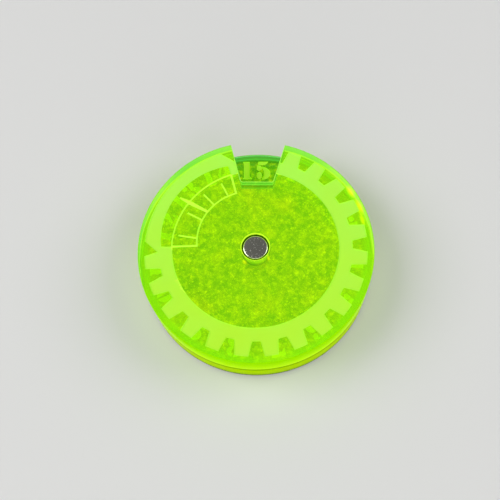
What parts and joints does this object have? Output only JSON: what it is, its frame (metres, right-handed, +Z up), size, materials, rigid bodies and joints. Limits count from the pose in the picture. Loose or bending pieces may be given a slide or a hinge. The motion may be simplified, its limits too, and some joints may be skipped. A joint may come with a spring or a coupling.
{
  "type": "dial counter",
  "caption": "Two clear discs held together by magnets: the upper one turns, and its rim notch shows one number of the lower disc.",
  "frame": {"origin": "on the dial's axis, at the middle of the flat face that it lies on", "axes": "+Z up along the dial's axis, +Y from the axis towards the middle of the window notch at rest"},
  "size_m": [0.028, 0.028, 0.0065],
  "materials": {
    "number_sheet": "clear fluorescent green cast sheet, laser-cut edges, frosted engraved numbers",
    "window_sheet": "clear fluorescent green cast sheet, laser-cut edges, frosted engraving",
    "magnet_nickel": "bright nickel plate with fine scratches"
  },
  "bodies": {
    "base": {"number_disc": "number_sheet", "lower_magnet": "magnet_nickel"},
    "dial": {"window_disc": "window_sheet", "upper_magnet": "magnet_nickel"}
  },
  "joints": [
    {"name": "dial_spin", "type": "hinge", "parent": "base", "child": "dial", "pos_m": [0, 0, 0.0033], "axis": [0, 0, 1], "continuous": true}
  ]
}
